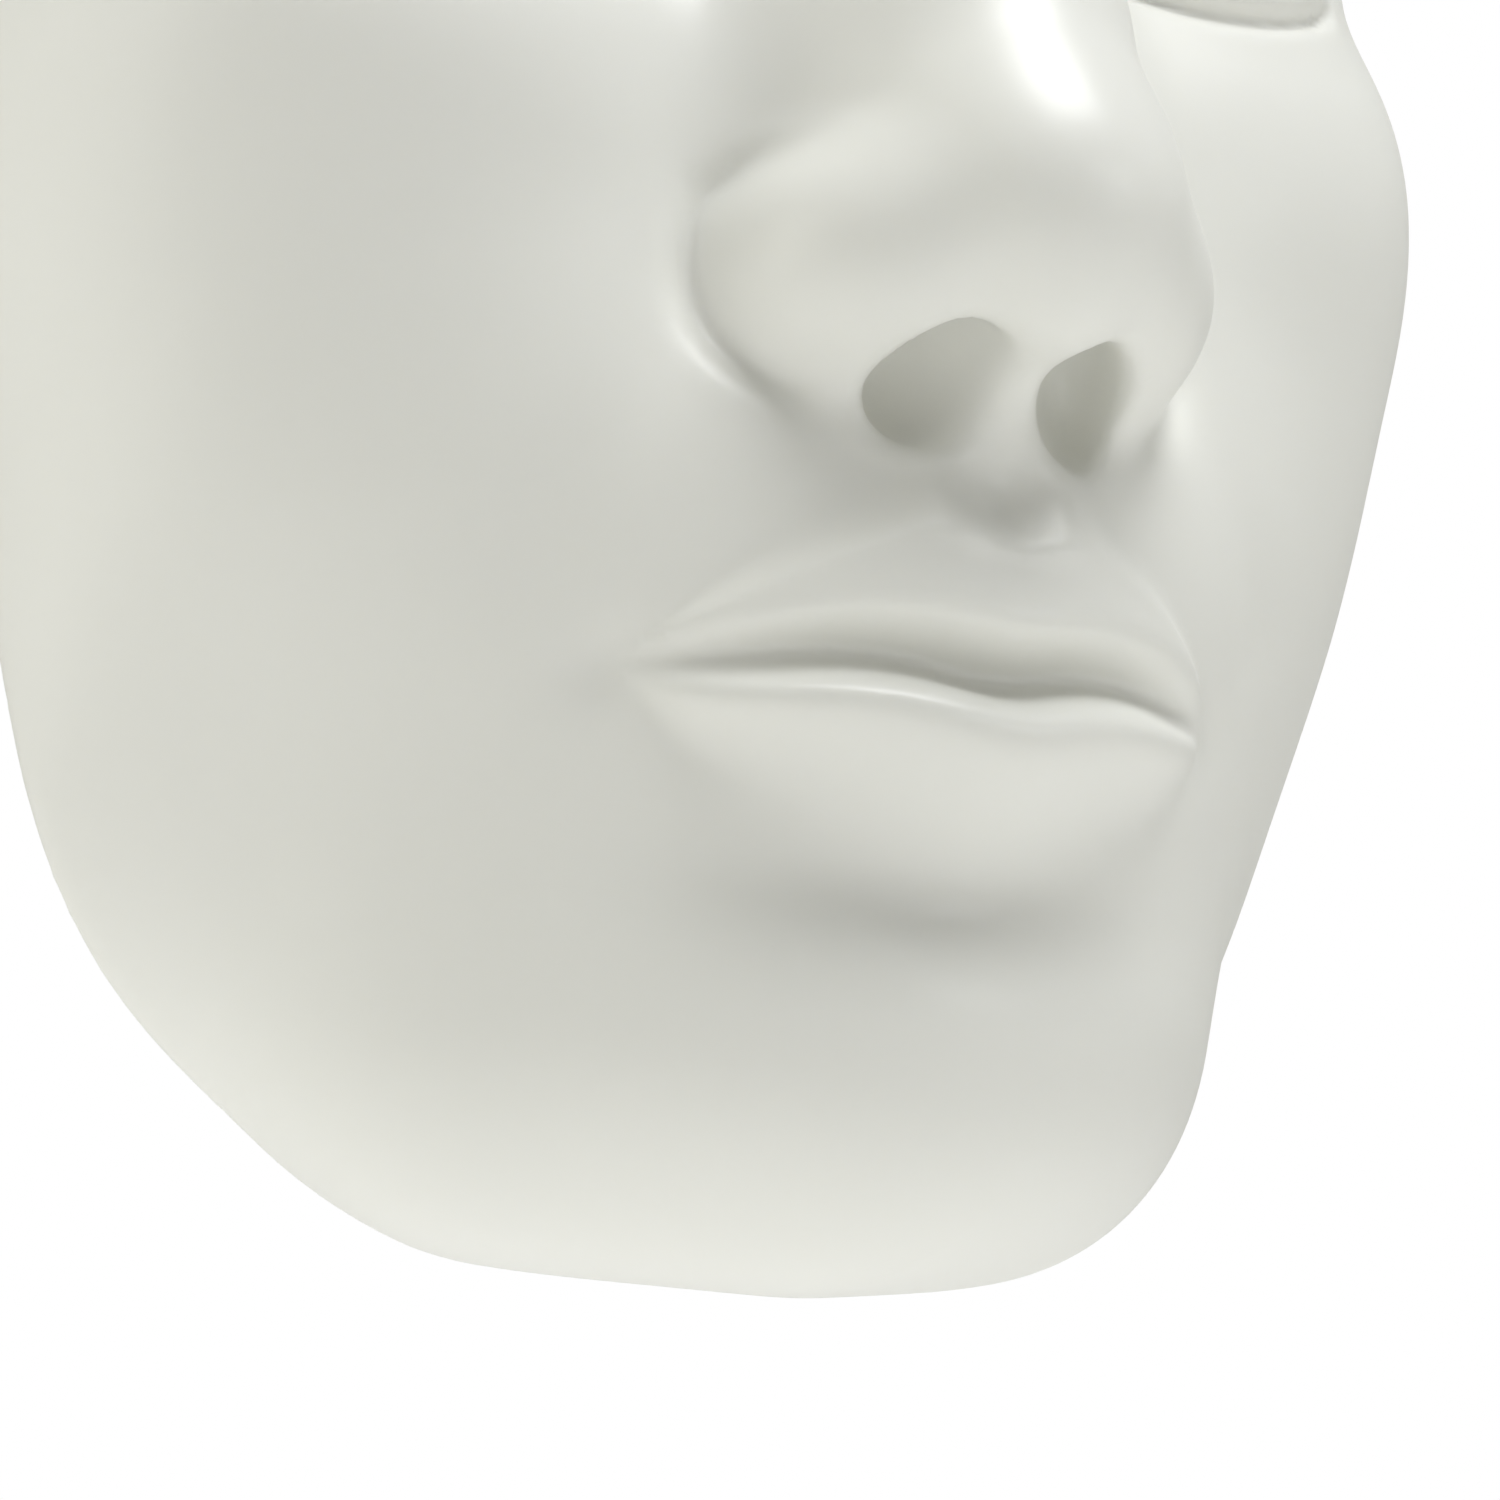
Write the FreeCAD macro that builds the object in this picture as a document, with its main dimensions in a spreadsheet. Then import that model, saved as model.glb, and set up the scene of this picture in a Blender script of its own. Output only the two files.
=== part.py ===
"""Wall mask: a moulded face that hangs on one screw, as a parametric FreeCAD document.

Row frame: X across the face, +Y out of the back towards the wall, +Z up, millimetres. The back rim of the
shell lies in the plane y = 0, and the origin is the centre of the keyhole's round entry in that plane.
The face is worked out in a frame of its own: x across, f forward of the back plane, h up from the chin.
"""
import FreeCAD
import Part
import Sketcher

import math
import os
import re

VECTOR = FreeCAD.Vector
UP = VECTOR(0, 0, 1)

# Name, millimetres, what it is. The sub-parts read their sizes from these cells.
DIMENSIONS = [
    ("shell_wall", 3.5, "thickness of the moulded shell"),
    ("flange_width", 9.5, "how far the flat back flange reaches in from the outline"),
    ("flange_depth", 5.0, "thickness of the back flange"),
    ("hang_height", 145.0, "keyhole entry above the chin"),
    ("brace_length", 92.0, "wooden brace across the forehead"),
    ("brace_height", 28.0, "height of the brace"),
    ("brace_depth", 12.0, "depth of the brace"),
    ("brace_edge", 2.0, "rounding of the brace's front edges"),
    ("recess_width", 13.0, "slot routed into the brace behind the keyhole"),
    ("recess_height", 21.0, "height of that slot"),
    ("recess_depth", 9.0, "depth of that slot"),
    ("plate_length", 50.0, "keyhole plate, side to side"),
    ("plate_height", 26.0, "keyhole plate, top to bottom"),
    ("plate_depth", 1.5, "sheet steel of the plate"),
    ("plate_corner", 4.0, "corner radius of the plate"),
    ("plate_lift", 2.5, "middle of the plate above the entry"),
    ("entry_radius", 4.5, "keyhole entry, for a screw head"),
    ("seat_radius", 2.5, "keyhole seat, for a screw shank"),
    ("seat_rise", 8.0, "seat above the entry"),
    ("fastener_spread", 38.0, "between the two plate screws"),
    ("shank_radius", 1.75, "plate screw"),
    ("head_radius", 3.4, "plate screw's countersunk head"),
    ("head_depth", 1.3, "depth of that head's cone"),
    ("fastener_length", 11.0, "plate screw, head face to tip"),
    ("tip_length", 3.0, "point of the plate screw"),
    ("drive_width", 0.9, "cross recess in the screw head, across one arm"),
    ("drive_length", 3.8, "cross recess, arm to arm"),
    ("drive_depth", 0.8, "depth of the cross recess"),
    ("bond_reach", 14.0, "resin lump that holds one end of the brace, along the brace"),
    ("bond_depth", 7.5, "resin lump, forward from its middle"),
    ("bond_rise", 18.0, "resin lump, up from its middle"),
    ("bumper_radius", 3.0, "rubber bumper on the flange"),
    ("bumper_inset", 6.0, "middle of a bumper, in from the outline"),
    ("bumper_depth", 2.0, "how far a bumper stands behind the flange"),
    ("bumper_round", 0.6, "rounding of the bumper's rear edge"),
]

# The bumpers, with their angle round the flange from straight up, in degrees.
BUMPERS = [
    ("bumper_upper_left", -42.0),
    ("bumper_upper_right", 42.0),
    ("bumper_lower_left", -146.0),
    ("bumper_lower_right", 146.0),
]

# Heights of the canon that the face is drawn on, up from the chin.
MOUTH, NOSE_BASE, EYE_LINE, BROW = 43.6, 62.0, 109.5, 124.0
EYE_OUT = 31.5
# The face's masses are placed from the plane of the ears, this far behind the back rim.
SETBACK = 33.0

# The face is surveyed along rays from the middle of the back plane, at this height above the chin.
CORE_HEIGHT = 92.0
LEANS = [1.5 * i for i in range(32)] + [48.0 + 3.0 * i for i in range(15)]
TURNS = [3.0 * i for i in range(120)]


# ---- the face as a field: about the distance to its surface, negative inside --------------------------------

def joined(a, b, blend):
    """Two masses run together, with a fillet about as wide as blend."""
    near = max(blend - abs(a - b), 0.0) / blend
    return min(a, b) - near * near * blend / 4.0


def carved(a, tool, blend):
    """A mass with a tool taken away, its edge rounded."""
    return -joined(-a, tool, blend)


def ball(point, centre, radii, turn=0.0, tip=0.0):
    """An ellipsoid, turned about the vertical and then tipped about x, in degrees."""
    x, f, h = (point[i] - centre[i] for i in range(3))
    c, s = math.cos(math.radians(turn)), math.sin(math.radians(turn))
    x, f = x * c + f * s, f * c - x * s
    c, s = math.cos(math.radians(tip)), math.sin(math.radians(tip))
    f, h = f * c + h * s, h * c - f * s
    a, b, c = radii
    near = math.sqrt((x / a) ** 2 + (f / b) ** 2 + (h / c) ** 2)
    slope = math.sqrt((x / a ** 2) ** 2 + (f / b ** 2) ** 2 + (h / c ** 2) ** 2)
    return near * (near - 1.0) / max(slope, 1e-9)


def limb(point, start, end, start_radius, end_radius):
    """A tapered rod with round ends."""
    along = [end[i] - start[i] for i in range(3)]
    away = [point[i] - start[i] for i in range(3)]
    share = sum(a * b for a, b in zip(along, away)) / sum(a * a for a in along)
    share = min(max(share, 0.0), 1.0)
    gap = math.sqrt(sum((away[i] - share * along[i]) ** 2 for i in range(3)))
    return gap - start_radius - (end_radius - start_radius) * share


def bell(value, width):
    return math.exp(-((value / width) ** 2))


def spot(point, centre, radii):
    """A soft round brush stroke, 1 in its middle."""
    return math.exp(-sum(((point[i] - centre[i]) / radii[i]) ** 2 for i in range(3)))


def ramp(value, start, end):
    """0 before start, 1 past end, smooth between."""
    share = min(max((value - start) / (end - start), 0.0), 1.0)
    return share * share * (3 - 2 * share)


def head_form(point):
    """Skull, cheeks, jaw and chin, with no features."""
    d = ball(point, (0, -6, 134), (70, 86, 71))
    d = joined(d, ball(point, (0, 14, 92), (60, 63, 62)), 26)
    d = joined(d, ball(point, (0, 18, 150), (57, 54, 50)), 22)
    d = joined(d, ball(point, (27, 20, 132), (36, 40, 48)), 24)
    d = joined(d, ball(point, (0, 2, 64), (55, 58, 48)), 26)
    d = joined(d, ball(point, (0, 34, 34), (26, 32, 22.5)), 18)
    d = joined(d, ball(point, (30, 42, 68), (26, 27, 28)), 26)
    d = joined(d, ball(point, (36, 8, 68), (23, 36, 36)), 26)
    jaw = limb(point, (0, 57, 20), (21, 48, 21), 16, 14.5)
    jaw = joined(jaw, limb(point, (21, 48, 21), (36, 26, 36), 14.5, 13.5), 10)
    jaw = joined(jaw, limb(point, (36, 26, 36), (43, 0, 50), 13.5, 11), 10)
    d = joined(d, jaw, 24)
    d = joined(d, ball(point, (0, 62, 21), (24, 18.5, 16)), 14)
    d = joined(d, ball(point, (0, 51, 54), (33, 34, 26)), 20)
    d = joined(d, ball(point, (41, 41, 92), (20, 24, 16)), 24)
    return joined(d, limb(point, (46, 34, 94), (54, 2, 98), 7, 6), 30)


def brow_and_eyes(point, d):
    """Brow ridge, eye sockets, the soft rise under them, and the closed eyes."""
    d = joined(d, ball(point, (0, 65, BROW + 3), (18, 14, 14)), 14)
    d = joined(d, limb(point, (12, 68, BROW), (46, 50, BROW + 5), 6, 4.5), 22)
    d = carved(d, ball(point, (EYE_OUT + 1.5, 90, EYE_LINE + 2.5), (24, 24, 14.5), turn=-16), 18)
    d = joined(d, ball(point, (EYE_OUT + 2.5, 50, EYE_LINE - 13.5), (17, 20, 11)), 18)
    return joined(d, ball(point, (EYE_OUT, 56.5, EYE_LINE), (16.5, 14.6, 13.6)), 8)


def nose(point, d):
    """Bridge, tip, wings and blind nostrils."""
    bridge = limb(point, (0, 69, 114), (0, 88.5, 82), 5.4, 6.6)
    bridge = joined(bridge, ball(point, (0, 75, 85), (13.5, 15, 24), tip=-28), 15)
    bridge = joined(bridge, ball(point, (0, 92, NOSE_BASE + 13.2), (10.4, 10, 9.2)), 10)
    bridge = joined(bridge, limb(point, (0, 92.5, NOSE_BASE + 7.5), (0, 84.5, NOSE_BASE + 3.8), 3.6, 3.8), 5)
    d = joined(d, bridge, 10)
    d = joined(d, ball(point, (11.8, 84, NOSE_BASE + 10.6), (7, 10.8, 7.8), turn=16), 5)
    return carved(d, ball(point, (6.7, 86.6, NOSE_BASE + 2.4), (2.9, 6.2, 5.2), turn=22), 2.5)


def lips(point, d):
    """The closed lips, raised off the face around a tucked-in mouth line."""
    x, f, h = point
    if f < 50:
        return d
    across = min(x / 25.5, 1.0)
    full = 1 - across ** 2
    line = MOUTH - 0.9 * bell(x, 5) + 0.5 * bell(x - 12, 6) - 0.3 * across
    away = abs(h - line)
    if h > line:
        tall = 8.8 * (1 - across ** 1.5) ** 0.9 + 0.8 * bell(x - 6.5, 4) - 0.5 * bell(x, 4)
        share = away / max(tall, 0.8)
        height = 3.9 * full ** 0.8 * (1 - 0.4 * ramp(share, 0.2, 1.3)) * bell(max(share - 1, 0), 0.45)
        height *= 1 - bell(away, 1.9)
    else:
        share = away / max(10.4 * full ** 0.75, 0.8)
        height = 4.9 * full ** 0.65 * bell(max(share - 0.42, 0), 0.55) * (1 - bell(away, 2.6))
    return d - height * ramp(f, 50, 66)


def on_canon(point):
    """The same point on the right half, measured from the plane of the ears. The cheeks' sides are drawn in."""
    x = math.hypot(point[0], 2.0)
    return x * (1 + 0.085 * ramp(x, 26, 70)), point[1] + SETBACK, point[2]


def face(point):
    """The outside of the mask."""
    point = on_canon(point)
    d = nose(point, brow_and_eyes(point, head_form(point)))
    d += 2.0 * spot(point, (0, 80, 27), (19, 30, 5.5))
    d += 0.8 * spot(point, (26, 71, 43), (3.2, 30, 3.6))
    d += 0.7 * spot(point, (0, 88, 57), (3.4, 30, 5.5))
    return lips(point, d)


def hollow(point, wall):
    """The inside of the mask: a plainer face, a wall's thickness in, with a channel up the nose."""
    point = on_canon(point)
    d = brow_and_eyes(point, head_form(point)) + 1.5 * spot(point, (0, 80, 27), (19, 30, 5.5))
    d += 3.0 * spot(point, (7, 82, NOSE_BASE + 5), (11, 9, 11))
    return joined(d + wall, limb(point, (0, 60, 112), (0, 80, 84), 3, 5), 10)


# ---- from a field to a solid --------------------------------------------------------------------------------

def reach(field, direction, core):
    """How far from the core the field's surface lies, coming in from outside."""
    radius = 150.0
    for _ in range(80):
        gap = field([core[i] + radius * direction[i] for i in range(3)])
        radius -= 0.8 * gap
        if abs(gap) < 0.004:
            break
    return radius


def heading(lean, turn):
    """A direction that leans so many degrees from straight forward, towards turn degrees from up."""
    flat = math.sin(math.radians(lean))
    return flat * math.sin(math.radians(turn)), math.cos(math.radians(lean)), flat * math.cos(math.radians(turn))


def row_point(x, f, h, hang_height):
    """A point of the face's own frame in the row frame."""
    return VECTOR(x, -f, h - hang_height)


def surface_point(field, lean, turn, floor, hang_height):
    """Where the field's surface lies in a direction from the middle of the plane at floor."""
    core = (0.0, floor, CORE_HEIGHT)
    way = heading(lean, turn)
    out = reach(field, way, core)
    return row_point(*(core[i] + out * way[i] for i in range(3)), hang_height)


def outline(field, floor, hang_height):
    """The field's outline in the plane at floor: a closed smooth curve."""
    poles = [surface_point(field, 90, turn, floor, hang_height) for turn in TURNS]
    count = len(poles)
    curve = Part.BSplineCurve()
    curve.buildFromPolesMultsKnots(poles, [1] * (count + 1), list(range(count + 1)), True, 3)
    return Part.Wire([curve.toShape()])


def dome(field, floor, hang_height):
    """The solid between a plane at floor and the field's surface: one cubic B-spline skin and a flat base."""
    net = [[surface_point(field, lean, turn, floor, hang_height) for turn in TURNS] for lean in LEANS]
    net[0] = [net[0][0]] * len(TURNS)
    spans_out, spans_round = len(LEANS) - 3, len(TURNS)
    skin = Part.BSplineSurface()
    skin.buildFromPolesMultsKnots(
        net,
        [4] + [1] * (spans_out - 1) + [4],
        [1] * (spans_round + 1),
        list(range(spans_out + 1)),
        list(range(spans_round + 1)),
        False, True, 3, 3)
    cover = skin.toShape()
    rim = max(cover.Edges, key=lambda edge: edge.Length if edge.BoundBox.YLength < 0.01 else 0.0)
    base = Part.Face(Part.Wire([rim]))
    closed = Part.Shell([cover, base])
    closed.sewShape()
    return Part.Solid(closed)


# ---- document helpers ---------------------------------------------------------------------------------------

def make_sheet(doc):
    """The spreadsheet of driving dimensions: what each one is, and its value under an alias."""
    sheet = doc.addObject("Spreadsheet::Sheet", "Dimensions")
    for row, (name, value, note) in enumerate(DIMENSIONS, start=1):
        sheet.set(f"A{row}", note)
        sheet.set(f"B{row}", str(value))
        sheet.setAlias(f"B{row}", name)
    doc.recompute()
    return sheet


def value_of(sheet, formula):
    return float(sheet.evalExpression(formula))


def bind(target, place, formula):
    """Bind a property or a constraint to a formula whose words are spreadsheet aliases."""
    target.setExpression(place, re.sub(r"[a-z_]+", r"Dimensions.\g<0>", formula))


def new_body(doc, name):
    body = doc.addObject("PartDesign::Body", name)
    body.Label = name
    return body


def origin_plane(body, role):
    return next(feature for feature in body.Origin.OriginFeatures if feature.Role == role)


def new_sketch(body, name, role, rise=None, aside=None):
    """A sketch on one of the body's own origin planes, moved off it or along it by formulas."""
    sketch = body.newObject("Sketcher::SketchObject", name)
    sketch.AttachmentSupport = (origin_plane(body, role), [""])
    sketch.MapMode = "FlatFace"
    if rise:
        bind(sketch, ".AttachmentOffset.Base.z", rise)
    if aside:
        bind(sketch, ".AttachmentOffset.Base.x", aside)
    return sketch


def size_constraint(sheet, sketch, kind, where, formula):
    index = sketch.addConstraint(Sketcher.Constraint(kind, *where, value_of(sheet, formula)))
    bind(sketch, f"Constraints[{index}]", formula)


def hold(sheet, sketch, item, end, across, along):
    """Hold a sketch point at two formulas, measured from the sketch's origin."""
    for kind, formula, axis in (("DistanceX", across, -2), ("DistanceY", along, -1)):
        if formula == "0":
            sketch.addConstraint(Sketcher.Constraint("PointOnObject", item, end, axis))
        else:
            size_constraint(sheet, sketch, kind, (-1, 1, item, end), formula)


def polygon(sheet, sketch, corners):
    """A closed outline through corners, each a pair of formulas."""
    places = [VECTOR(value_of(sheet, across), value_of(sheet, along), 0) for across, along in corners]
    first = sketch.GeometryCount
    for index, place in enumerate(places):
        sketch.addGeometry(Part.LineSegment(place, places[(index + 1) % len(places)]), False)
    for index, (across, along) in enumerate(corners):
        before = first + (index - 1) % len(corners)
        sketch.addConstraint(Sketcher.Constraint("Coincident", before, 2, first + index, 1))
        hold(sheet, sketch, first + index, 1, across, along)


def rectangle(sheet, sketch, width, height, middle):
    """A rectangle about the sketch's vertical axis, with its middle so far up it."""
    left, right = f"-{width} / 2", f"{width} / 2"
    low, high = f"{middle} - {height} / 2", f"{middle} + {height} / 2"
    polygon(sheet, sketch, [(left, low), (right, low), (right, high), (left, high)])


def pad(body, name, sketch, depth, backward=False):
    feature = body.newObject("PartDesign::Pad", name)
    feature.Profile = sketch
    feature.Reversed = backward
    bind(feature, "Length", depth)
    return feature


def pocket(body, name, sketch, depth):
    """A cut towards the front of the mask, the way the back planes' sketches face."""
    feature = body.newObject("PartDesign::Pocket", name)
    feature.Profile = sketch
    feature.Reversed = True
    bind(feature, "Length", depth)
    return feature


def revolve(body, kind, name, sketch):
    """A full turn of a profile about its sketch's own vertical axis."""
    feature = body.newObject(kind, name)
    feature.Profile = sketch
    feature.ReferenceAxis = (sketch, ["V_Axis"])
    feature.Angle = 360
    return feature


def mirror_across(body, features):
    """The same features on the other side of the mask's middle plane."""
    feature = body.newObject("PartDesign::Mirrored", f"{body.Name}_other_side")
    feature.Originals = features
    feature.MirrorPlane = (origin_plane(body, "YZ_Plane"), [""])
    body.Tip = feature
    return feature


def fillet(doc, body, base, radius, chosen):
    """Round the edges of the base feature that the test picks."""
    doc.recompute()
    names = [f"Edge{i}" for i, edge in enumerate(base.Shape.Edges, start=1) if chosen(edge)]
    feature = body.newObject("PartDesign::Fillet", f"{body.Name}_rounding")
    feature.Base = (base, names)
    bind(feature, "Radius", radius)
    return feature


# ---- sub-parts ----------------------------------------------------------------------------------------------

def make_face_forms(doc, sheet):
    """The outside of the mask, and its hollow with the opening through the flange."""
    lift = value_of(sheet, "hang_height")
    wall = value_of(sheet, "shell_wall")
    lip = value_of(sheet, "flange_width")
    step = value_of(sheet, "flange_depth")
    outer = doc.addObject("Part::Feature", "outer_form")
    outer.Shape = dome(face, 0.0, lift)
    deep = dome(lambda point: hollow(point, wall), step, lift)
    mouth = Part.Face(outline(lambda point: hollow(point, lip), 0.0, lift))
    mouth.translate(VECTOR(0, 1, 0))
    opening = mouth.extrude(VECTOR(0, -step - 2, 0))
    cavity = doc.addObject("Part::Feature", "cavity")
    cavity.Shape = deep.fuse(opening)
    return outer, cavity


def make_shell(doc, outer, cavity):
    """The moulded face: outer form, less its hollow."""
    shell = doc.addObject("Part::Cut", "face_shell")
    shell.Base, shell.Tool = outer, cavity
    return shell


def add_screw_profile(sheet, body, name):
    """Half of a countersunk screw, in a level plane through its axis."""
    sketch = new_sketch(body, name, "XY_Plane", rise="plate_lift", aside="fastener_spread / 2")
    polygon(sheet, sketch, [
        ("0", "0"),
        ("head_radius", "0"),
        ("shank_radius", "-head_depth"),
        ("shank_radius", "tip_length - fastener_length"),
        ("0", "-fastener_length"),
    ])
    return sketch


def make_brace(doc, sheet):
    """Wooden bar across the forehead, routed out behind the keyhole and bored for the plate screws."""
    body = new_body(doc, "hanger_brace")
    profile = new_sketch(body, "brace_profile", "XZ_Plane", rise="plate_depth")
    rectangle(sheet, profile, "brace_length", "brace_height", "plate_lift")
    block = pad(body, "brace_block", profile, "brace_depth")
    front = -value_of(sheet, "plate_depth + brace_depth")
    fillet(doc, body, block, "brace_edge", lambda edge: abs(edge.BoundBox.YMin - front) < 0.01
           and edge.BoundBox.YLength < 0.01)
    recess = new_sketch(body, "recess_profile", "XZ_Plane", rise="plate_depth")
    rectangle(sheet, recess, "recess_width", "recess_height", "seat_rise / 2")
    pocket(body, "recess", recess, "recess_depth")
    pilot = revolve(body, "PartDesign::Groove", "pilot", add_screw_profile(sheet, body, "pilot_profile"))
    mirror_across(body, [pilot])
    return body


def make_bonds(doc, sheet, brace, cavity):
    """Lumps of resin that fill the space between the ends of the brace and the shell."""
    lump = doc.addObject("Part::Ellipsoid", "bond_lump")
    bind(lump, "Radius1", "bond_rise")
    bind(lump, "Radius2", "bond_reach")
    bind(lump, "Radius3", "bond_depth")
    bind(lump, "Placement.Base.x", "-(brace_length / 2 + bond_reach / 3)")
    bind(lump, "Placement.Base.y", "-(plate_depth + brace_depth / 2 + 1)")
    bind(lump, "Placement.Base.z", "plate_lift")
    filled = doc.addObject("Part::Common", "bond_filling")
    filled.Base, filled.Tool = lump, cavity
    left = doc.addObject("Part::Cut", "brace_bond_left")
    left.Base, left.Tool = filled, brace
    right = doc.addObject("Part::Mirroring", "brace_bond_right")
    right.Source = left
    right.Normal = VECTOR(1, 0, 0)
    return [left, right]


def add_keyhole_outline(sheet, sketch):
    """Round entry about the origin, with a narrower slot that runs up from it to a round seat."""
    entry, seat = value_of(sheet, "entry_radius"), value_of(sheet, "seat_radius")
    rise = value_of(sheet, "seat_rise")
    neck = math.sqrt(entry ** 2 - seat ** 2)
    tilt = math.acos(seat / entry)
    entry_circle, seat_circle = Part.Circle(VECTOR(), UP, entry), Part.Circle(VECTOR(0, rise, 0), UP, seat)
    sketch.addGeometry(Part.ArcOfCircle(entry_circle, math.pi - tilt, 2 * math.pi + tilt), False)
    sketch.addGeometry(Part.LineSegment(VECTOR(seat, neck, 0), VECTOR(seat, rise, 0)), False)
    sketch.addGeometry(Part.ArcOfCircle(seat_circle, 0, math.pi), False)
    sketch.addGeometry(Part.LineSegment(VECTOR(-seat, rise, 0), VECTOR(-seat, neck, 0)), False)
    for constraint in (
        ("Coincident", 0, 3, -1, 1),
        ("PointOnObject", 2, 3, -2),
        ("Coincident", 0, 2, 1, 1),
        ("Tangent", 1, 2, 2, 1),
        ("Tangent", 2, 2, 3, 1),
        ("Coincident", 3, 2, 0, 1),
        ("Vertical", 1),
        ("Vertical", 3),
    ):
        sketch.addConstraint(Sketcher.Constraint(*constraint))
    size_constraint(sheet, sketch, "Radius", (0,), "entry_radius")
    size_constraint(sheet, sketch, "Radius", (2,), "seat_radius")
    size_constraint(sheet, sketch, "DistanceY", (-1, 1, 2, 3), "seat_rise")


def make_plate(doc, sheet):
    """Steel keyhole plate, screwed to the back of the brace."""
    body = new_body(doc, "keyhole_plate")
    profile = new_sketch(body, "plate_profile", "XZ_Plane")
    rectangle(sheet, profile, "plate_length", "plate_height", "plate_lift")
    blank = pad(body, "plate_blank", profile, "plate_depth")
    fillet(doc, body, blank, "plate_corner", lambda edge: edge.BoundBox.YLength > 0.1)
    keyhole = new_sketch(body, "keyhole_profile", "XZ_Plane")
    add_keyhole_outline(sheet, keyhole)
    pocket(body, "keyhole", keyhole, "plate_depth")
    hole = revolve(body, "PartDesign::Groove", "screw_hole", add_screw_profile(sheet, body, "hole_profile"))
    mirror_across(body, [hole])
    return body


def make_screws(doc, sheet):
    """The two countersunk screws that hold the plate, with cross recesses."""
    body = new_body(doc, "plate_screws")
    turned = revolve(body, "PartDesign::Revolution", "screw", add_screw_profile(sheet, body, "screw_half"))
    cross = new_sketch(body, "drive_profile", "XZ_Plane", aside="fastener_spread / 2")
    arm, half = "drive_length / 2", "drive_width / 2"
    middle = "plate_lift"
    corners = [(half, half), (arm, half), (arm, f"-{half}"), (half, f"-{half}"), (half, f"-{arm}"),
               (f"-{half}", f"-{arm}"), (f"-{half}", f"-{half}"), (f"-{arm}", f"-{half}"),
               (f"-{arm}", half), (f"-{half}", half), (f"-{half}", arm), (half, arm)]
    polygon(sheet, cross, [(across, f"{middle} + {along}") for across, along in corners])
    recess = pocket(body, "drive_recess", cross, "drive_depth")
    mirror_across(body, [turned, recess])
    return body


def make_bumper(doc, sheet, name, angle):
    """A round rubber bumper on the flange, far enough in that it can't be seen from the front."""
    body = new_body(doc, name)
    profile = new_sketch(body, f"{name}_profile", "XZ_Plane")
    radius = value_of(sheet, "bumper_radius")
    profile.addGeometry(Part.Circle(VECTOR(), UP, radius), False)
    profile.addConstraint(Sketcher.Constraint("Coincident", 0, 3, -1, 1))
    size_constraint(sheet, profile, "Radius", (0,), "bumper_radius")
    disc = pad(body, f"{name}_disc", profile, "bumper_depth", backward=True)
    rear = value_of(sheet, "bumper_depth")
    fillet(doc, body, disc, "bumper_round", lambda edge: edge.BoundBox.YMin > rear - 0.01)
    inset = value_of(sheet, "bumper_inset")
    lift = value_of(sheet, "hang_height")
    body.Placement.Base = surface_point(lambda point: hollow(point, inset), 90, angle, 0.0, lift)
    return body


# ---- the document -------------------------------------------------------------------------------------------

def check(doc, nodes):
    """Stop on a failed object, on a null or invalid shape, or on a cut that removed nothing."""
    for item in doc.Objects:
        if "Invalid" in item.State or "Error" in item.State:
            raise RuntimeError(f"{item.Name} failed: {item.State}")
        if item.TypeId in ("PartDesign::Pocket", "PartDesign::Groove"):
            if item.Shape.Volume > item.BaseFeature.Shape.Volume - 0.5:
                raise RuntimeError(f"{item.Name} cuts nothing")
    for node in nodes:
        if node.Shape.isNull() or not node.Shape.isValid():
            raise RuntimeError(f"{node.Label} has no valid shape")


def main():
    doc = FreeCAD.newDocument("wall_mask")
    sheet = make_sheet(doc)
    outer, cavity = make_face_forms(doc, sheet)
    brace = make_brace(doc, sheet)
    nodes = [
        make_shell(doc, outer, cavity),
        brace,
        *make_bonds(doc, sheet, brace, cavity),
        make_plate(doc, sheet),
        make_screws(doc, sheet),
    ]
    nodes += [make_bumper(doc, sheet, name, angle) for name, angle in BUMPERS]
    doc.recompute()
    check(doc, nodes)
    os.makedirs("parts", exist_ok=True)
    for node in nodes:
        node.Shape.exportStep(os.path.join("parts", f"{node.Label}.step"))
        box = node.Shape.BoundBox
        print(f"{node.Label}: {len(node.Shape.Solids)} solid, {node.Shape.Volume:.0f} mm3, "
              f"x {box.XMin:.1f} to {box.XMax:.1f}, y {box.YMin:.1f} to {box.YMax:.1f}, "
              f"z {box.ZMin:.1f} to {box.ZMax:.1f}")


main()
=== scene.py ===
"""A moulded white wall mask: the looks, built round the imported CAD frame.

The face is modelled as a smooth field in millimetres, in a frame of its own: x across, f forward of the
back plane, h up from the chin. Meshes are made from such fields and then put into the row frame, in metres.
"""
import math

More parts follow.
